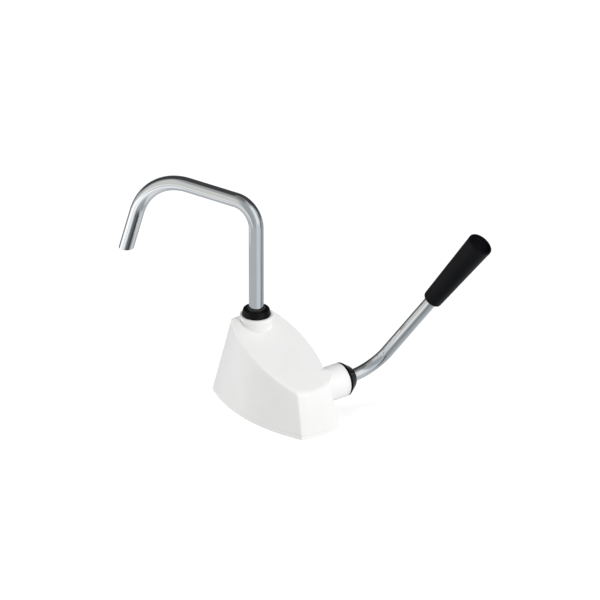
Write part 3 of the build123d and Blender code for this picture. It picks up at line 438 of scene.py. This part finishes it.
# %% Walk a ring round its section
def walked_ring(section, sides, zigzag=0.0):
    bpy.ops.object.select_all(action="DESELECT")
    radius, rise = section[0]
    bpy.ops.mesh.primitive_circle_add(vertices=sides, radius=radius * MM, location=(0, 0, 0))
    ring = bpy.context.active_object
    bpy.ops.object.mode_set(mode="EDIT")
    bpy.ops.mesh.select_all(action="SELECT")
    bpy.ops.transform.translate(value=(0, 0, rise * MM))
    for step, (next_radius, next_rise) in enumerate(section[1:]):
        bpy.ops.mesh.extrude_edges_move(
            TRANSFORM_OT_translate={"value": (0, 0, (next_rise - rise) * MM)}
        )
        grow = next_radius / radius
        bpy.ops.transform.resize(value=(grow, grow, 1), center_override=(0, 0, 0))
        if zigzag:
            turn = math.radians(zigzag if step % 2 else -zigzag)
            bpy.ops.transform.rotate(value=turn, orient_axis="Z", center_override=(0, 0, 0))
        radius, rise = next_radius, next_rise
    bpy.ops.mesh.select_all(action="DESELECT")
    bpy.ops.mesh.select_mode(type="EDGE")
    bpy.ops.mesh.select_non_manifold(extend=False)
    bpy.ops.mesh.bridge_edge_loops()
    bpy.ops.object.mode_set(mode="OBJECT")
    return ring


def apply_modifier(piece, kind, **values):
    pick(piece)
    modifier = piece.modifiers.new(kind.lower(), kind)
    for label, value in values.items():
        setattr(modifier, label, value)
    bpy.ops.object.modifier_apply(modifier=modifier.name)


# %% [markdown]
# The nuts say where the lips go: the spout's nut opens upwards at its top, and the lever's nut
# opens at its outer end. Each lip starts inside the nut's bore, spreads over the edge of the bore
# and narrows again to the tube, with a hair's width of room for it to turn. The corners of a lip
# are given as radius and height in millimetres, from the seat on its nut.

# %% Wiper lips of spout and lever
DOME_FALL = 0.3 * MM  # from the top of the domed nut down to the lip's seat
LIP_SIDES = 72
LIP_BEVEL = 0.07 * MM
spout_low, spout_high = (Vector(corner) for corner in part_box("spout_gland_nut"))
lever_low, lever_high = (Vector(corner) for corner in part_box("shaft_gland_nut"))
spout_seat = (spout_low + spout_high) / 2
spout_seat.z = spout_high.z - DOME_FALL
lever_seat = (lever_low + lever_high) / 2
lever_seat.y = lever_high.y
SPOUT_LIP = [
    (7.56, -0.7), (7.80, -0.7), (7.80, -0.2), (8.90, 0.1), (8.90, 0.38), (8.35, 0.72),
    (7.80, 1.05), (7.56, 0.95),
]
LEVER_LIP = [
    (6.43, -0.7), (6.64, -0.7), (6.64, -0.1), (7.90, -0.1), (7.90, 0.24), (7.30, 0.60),
    (6.75, 0.92), (6.50, 0.80),
]
for name, seat, tilt, section in (
    ("spout_wiper_lip", spout_seat, 0.0, SPOUT_LIP),
    ("lever_wiper_lip", lever_seat, -90.0, LEVER_LIP),
):
    lip = walked_ring(section, LIP_SIDES)
    apply_modifier(lip, "BEVEL", width=LIP_BEVEL, segments=2, limit_method="ANGLE")
    lip.location = seat
    lip.rotation_euler.x = math.radians(tilt)
    finish_piece(lip, name, "pump_body", rubber)

# %% [markdown]
# Behind the lever's nut sits one turn of plaited packing. The plait shows as rows of chevrons, so
# the ring is walked in many small steps, and every second loop is turned a little ahead. Each
# skewed face then becomes one stitch: it is inset by itself and raised, and a subdivision rounds
# it like yarn. The piece takes the place of the plain packed ring.

# %% Plaited packing
ROOM = 0.40  # left outside the plait for its raised stitches, in mm
INNER, EDGE = 6.75, 0.33  # bore radius, and room at both ends, in mm
ACROSS, ALONG = 5, 4  # loops over an end and along a side
PLAIT_SIDES = 40
SKEW = 2.4  # degrees that every second loop is turned ahead
STITCH_INSET, STITCH_RISE = 0.20 * MM, 0.30 * MM
packing_low, packing_high = (Vector(corner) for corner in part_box("gland_packing"))
outer = (packing_high.x - packing_low.x) / 2 / MM - ROOM
depth = (packing_high.y - packing_low.y) / MM
stitches = [(outer, EDGE + (depth - 2 * EDGE) * n / ALONG) for n in range(ALONG)]
stitches += [(outer + (INNER - outer) * n / ACROSS, depth - EDGE) for n in range(ACROSS)]
stitches += [(INNER, depth - EDGE - (depth - 2 * EDGE) * n / ALONG) for n in range(ALONG)]
stitches += [(INNER + (outer - INNER) * n / ACROSS, EDGE) for n in range(ACROSS)]
plait = walked_ring(stitches, PLAIT_SIDES, zigzag=SKEW)
bpy.ops.object.mode_set(mode="EDIT")
bpy.ops.mesh.select_mode(type="FACE")
bpy.ops.mesh.select_all(action="SELECT")
bpy.ops.mesh.normals_make_consistent(inside=False)
bpy.ops.mesh.inset(thickness=STITCH_INSET, depth=STITCH_RISE, use_individual=True)
bpy.ops.object.mode_set(mode="OBJECT")
apply_modifier(plait, "SUBSURF", levels=1, render_levels=1)
plait.location = (packing_low + packing_high) / 2
plait.location.y = packing_low.y
plait.rotation_euler.x = math.radians(-90)
finish_piece(plait, "plaited_packing", "pump_body", packing, soft_angle=60)
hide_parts("gland_packing")

# %% [markdown]
# ## The studio
#
# A plain pale floor, and light that is soft from everywhere. Polished tube shows nothing but its
# surroundings, so those are designed with care. A photographer stands white and black cards round
# a shiny object, and the sky is built the same way: an even grey, with soft-edged panels laid over
# it one after the other. The first step turns the direction of a ray into a compass bearing from
# the nose and a height above the horizon, both in degrees.

# %% Bearing and height of a ray
world = bpy.data.worlds.new("studio")
bpy.context.scene.world = world
world.use_nodes = True
sky = world.node_tree
background = sky.nodes["Background"]
direction = sky.nodes.new("ShaderNodeTexCoord").outputs["Generated"]
ray = sky.nodes.new("ShaderNodeSeparateXYZ")
sky.links.new(direction, ray.inputs[0])
turned = math_node(sky, "ARCTAN2", ray.outputs[1], ray.outputs[0])
bearing = math_node(sky, "MULTIPLY", turned, math.degrees(1))
height = math_node(sky, "MULTIPLY", math_node(sky, "ARCSINE", ray.outputs[2]), math.degrees(1))


# %% [markdown]
# A panel covers the sky between two heights, and a reach of degrees on both sides of a bearing.
# Its edges fade, as the edges of a card do in a reflection that isn't quite sharp. Cards in front
# of the pump get a cool tint and those beside the lever a warm one, which gives the steel its
# slight play of colour.


# %% One panel over the sky
PLAIN, COOL, WARM = (1, 1, 1), (0.94, 1.0, 1.05), (1.02, 1.0, 0.955)


def blend_tones(share, first, second):
    mix = sky.nodes.new("ShaderNodeMix")
    mix.data_type = "RGBA"
    sky.links.new(share, mix.inputs[0])
    for place, tone in ((6, first), (7, second)):
        if hasattr(tone, "is_output"):
            sky.links.new(tone, mix.inputs[place])
        else:
            mix.inputs[place].default_value = tone
    return mix.outputs[2]


def lay_panel(
    so_far, tone, low=-100, high=100, middle=0, reach=None, side=20, edge=12, tint=PLAIN
):
    share = math_node(
        sky, "MULTIPLY",
        soft_step(sky, height, low - edge / 2, low + edge / 2),
        soft_step(sky, height, high + edge / 2, high - edge / 2),
    )
    if reach is not None:
        off = math_node(sky, "WRAP", math_node(sky, "SUBTRACT", bearing, middle), 180.0, -180.0)
        aside = soft_step(sky, math_node(sky, "ABSOLUTE", off), reach + side / 2, reach - side / 2)
        share = math_node(sky, "MULTIPLY", share, aside)
    return blend_tones(share, so_far, (*(tone * channel for channel in tint), 1))


# %% [markdown]
# The pump stands on pale paper, which mirrors see as the lower panels. Bright cards stand at the
# nose and behind the spout's side, a grey one between them, and the corner behind the lever is
# left dark: it draws the dark upper edge along the spout. The ceiling is dim.

# %% The panels
PANELS = {
    "paper right below": dict(tone=0.84, high=-70, edge=8),
    "brightest paper": dict(tone=1.08, high=-68, middle=-75, reach=50, side=40, edge=8),
    "paper by the spout": dict(
        tone=1.02, low=-66, high=-30, middle=-106, reach=24, side=16, edge=6
    ),
    "shade under the front": dict(
        tone=0.48, low=-74, high=-48, middle=-15, reach=50, side=24, edge=10, tint=COOL
    ),
    "shade at the foot": dict(
        tone=0.09, low=-54, high=-43, middle=-20, reach=24, side=14, edge=6
    ),
    "shade beside the foot": dict(
        tone=0.16, low=-46, high=-37, middle=-56, reach=12, side=12, edge=6
    ),
    "paper beside the foot": dict(
        tone=0.88, low=-56, high=-44, middle=54, reach=22, side=14, edge=8
    ),
    "paper in front": dict(
        tone=0.83, low=-34, high=-4, middle=-2, reach=28, side=26, edge=10, tint=COOL
    ),
    "gap beside the nose": dict(
        tone=0.38, low=-40, high=22, middle=50, reach=17, side=14, edge=14, tint=COOL
    ),
    "shade by the lever": dict(tone=0.46, low=-36, high=-5, middle=98, reach=24, edge=10),
    "card by the spout": dict(tone=0.84, low=-12, high=40, middle=-115, reach=28, tint=WARM),
    "bright paper edge": dict(
        tone=1.25, low=-23, high=-12, middle=-116, reach=34, edge=4, tint=WARM
    ),
    "grey card": dict(tone=0.51, low=-20, high=58, middle=-60, reach=25, edge=10, tint=COOL),
    "high on the spout's side": dict(
        tone=0.47, low=42, high=64, middle=-115, reach=55, side=30, edge=14
    ),
    "dark foot of the corner": dict(tone=0.21, low=-22, high=4, middle=176, reach=18, edge=6),
    "dark corner": dict(tone=0.07, low=-2, high=76, middle=134, reach=73, side=24, edge=10),
    "card at the nose": dict(
        tone=1.12, low=-6, high=62, middle=4, reach=20, side=14, edge=14
    ),
    "its upper corner": dict(tone=0.90, low=34, high=60, middle=28, reach=12, side=14),
    "ceiling": dict(tone=0.24, low=63),
    "ceiling at the nose": dict(
        tone=0.58, low=58, high=80, middle=15, reach=45, side=30, edge=14
    ),
}
EVEN_GREY = (0.595, 0.612, 0.632, 1)
seen_in_gloss = EVEN_GREY
for card in PANELS.values():
    seen_in_gloss = lay_panel(seen_in_gloss, **card)
print("panels in the sky:", len(PANELS))

# %% [markdown]
# The camera itself should see clean white behind the pump, and the matt surfaces need an evener
# light than the mirrors show. The Light Path node tells these rays apart in the sky.

# %% White behind, even light on matt surfaces
path = sky.nodes.new("ShaderNodeLightPath")
EVEN = (0.43, 0.43, 0.43, 1)
WHITE = (1.05, 1.05, 1.05, 1)
for_matt = blend_tones(path.outputs["Is Diffuse Ray"], seen_in_gloss, EVEN)
for_camera = blend_tones(path.outputs["Is Camera Ray"], for_matt, WHITE)
sky.links.new(for_camera, background.inputs["Color"])


# %% [markdown]
# Large round area lights shape the body. The strongest stands low in front of the nose, two fill
# the spout's side from the left and from behind, weaker ones stand on the lever's side, and one
# hangs overhead. All six are kept out of mirror reflections, which the sky already provides, so
# that the tubes show no hard discs.


# %% Soft lights
def soft_light(name, place, aim, size, power):
    lamp = bpy.data.lights.new(name, "AREA")
    lamp.shape = "DISK"
    lamp.size = size
    lamp.energy = power
    holder = bpy.data.objects.new(name, lamp)
    bpy.context.scene.collection.objects.link(holder)
    holder.location = place
    holder.rotation_euler = (Vector(aim) - Vector(place)).to_track_quat("-Z", "Y").to_euler()
    holder.visible_camera = False
    holder.visible_glossy = False
    print(name, power, "W")


BODY_MIDDLE = (0, 0, 0.05)
soft_light("nose_light", (2.30, 0.45, 0.62), BODY_MIDDLE, size=0.9, power=31.5)
soft_light("spout_back_fill", (-2.1, -0.95, 0.5), BODY_MIDDLE, size=1.4, power=24.0)
soft_light("spout_side_fill", (-0.6, -2.3, 0.45), BODY_MIDDLE, size=1.4, power=12.5)
soft_light("corner_light", (1.55, 1.35, 1.4), BODY_MIDDLE, size=0.9, power=2.5)
soft_light("lever_side_fill", (0.2, 2.4, 0.35), BODY_MIDDLE, size=1.4, power=11.3)
soft_light("top_light", (0.1, 0.0, 2.5), BODY_MIDDLE, size=1.0, power=16.0)

# %% [markdown]
# One small card stands close to the spout's outlet. A sky panel is endlessly far away, so riser and
# outlet see it alike, but a near card fills only the outlet's reflections and makes it sparkle. It
# is seen in reflections alone and adds no light to matt surfaces.

# %% Card at the outlet
CARD_WIDE, CARD_HIGH = 0.105, 0.085
CARD_POWER = 0.011
CARD_FROM_OUTLET = Vector((-0.034, -0.074, -0.030))
outlet = Vector(next(m["pos_m"] for m in frame["record"]["mounts"] if m["name"] == "spout_end"))
card_lamp = bpy.data.lights.new("outlet_card", "AREA")
card_lamp.shape = "ELLIPSE"
card_lamp.size = CARD_WIDE
card_lamp.size_y = CARD_HIGH
card_lamp.energy = CARD_POWER
outlet_card = bpy.data.objects.new("outlet_card", card_lamp)
bpy.context.scene.collection.objects.link(outlet_card)
outlet_card.location = outlet + CARD_FROM_OUTLET
outlet_card.rotation_euler = (outlet - outlet_card.location).to_track_quat("-Z", "Y").to_euler()
outlet_card.visible_camera = False
outlet_card.visible_diffuse = False
print("card stands", round((outlet - outlet_card.location).length, 3), "m from the outlet")

# %% [markdown]
# A studio floor is a roll of pale paper that curves up behind the object. A flat disc is enough
# here, because it is so pale and glows a little to the camera: it fades into the white behind it
# and keeps only a breath of shadow under the pump. Mirrors see the sky's ground tones instead.

# %% Floor
FLOOR_RADIUS = 14.0
FLOOR_DROP = 0.02 * MM  # keeps the paper and the underside from sharing one plane
FIBRES_PER_METRE = 900.0
GLOW, GLOW_TO_CAMERA = 0.31, 0.74
bpy.ops.object.select_all(action="DESELECT")
bpy.ops.mesh.primitive_circle_add(
    vertices=96, radius=FLOOR_RADIUS, fill_type="NGON", location=(0, 0, 0)
)
floor = bpy.context.active_object
floor.name = "studio_floor"
floor.location.z = -FLOOR_DROP
paper = bpy.data.materials.new("pale_floor_paper")
paper.use_nodes = True
tree = paper.node_tree
shader = tree.nodes["Principled BSDF"]
where = tree.nodes.new("ShaderNodeTexCoord").outputs["Object"]
fibre = noise_node(tree, where, FIBRES_PER_METRE, detail=3.0)
two_tones(tree, shader, fibre, clean=(0.34, 0.34, 0.34), marked=(0.36, 0.36, 0.36))
shader.inputs["Roughness"].default_value = 0.95
shader.inputs["Specular IOR Level"].default_value = 0.0
shader.inputs["Emission Color"].default_value = (1, 1, 1, 1)
floor_path = tree.nodes.new("ShaderNodeLightPath")
glow = between(tree, floor_path.outputs["Is Camera Ray"], GLOW, GLOW_TO_CAMERA)
tree.links.new(glow, shader.inputs["Emission Strength"])
floor.data.materials.append(paper)
floor.visible_glossy = False

# %% [markdown]
# The pump is seen from far away through a long lens, so its upright lines stay parallel. The
# camera looks from above the nose on the spout's side.

# %% Camera
AZIMUTH, ELEVATION = math.radians(52.9), math.radians(26.4)
AIM = Vector((-23.4, 47.7, 96.3)) * MM
DISTANCE = 12.0
away = Vector((
    math.sin(AZIMUTH) * math.cos(ELEVATION),
    -math.cos(AZIMUTH) * math.cos(ELEVATION),
    math.sin(ELEVATION),
))
lens = bpy.data.cameras.new("portrait")
lens.sensor_width = 36.0
lens.lens = 720.0
lens.clip_end = 60.0
camera = bpy.data.objects.new("portrait", lens)
bpy.context.scene.collection.objects.link(camera)
camera.location = AIM + away * DISTANCE
camera.rotation_mode = "QUATERNION"
camera.rotation_quaternion = (-away).to_track_quat("-Z", "Y")
bpy.context.scene.camera = camera
bpy.context.scene.view_settings.view_transform = "Standard"
print("camera at", [round(v, 2) for v in camera.location])
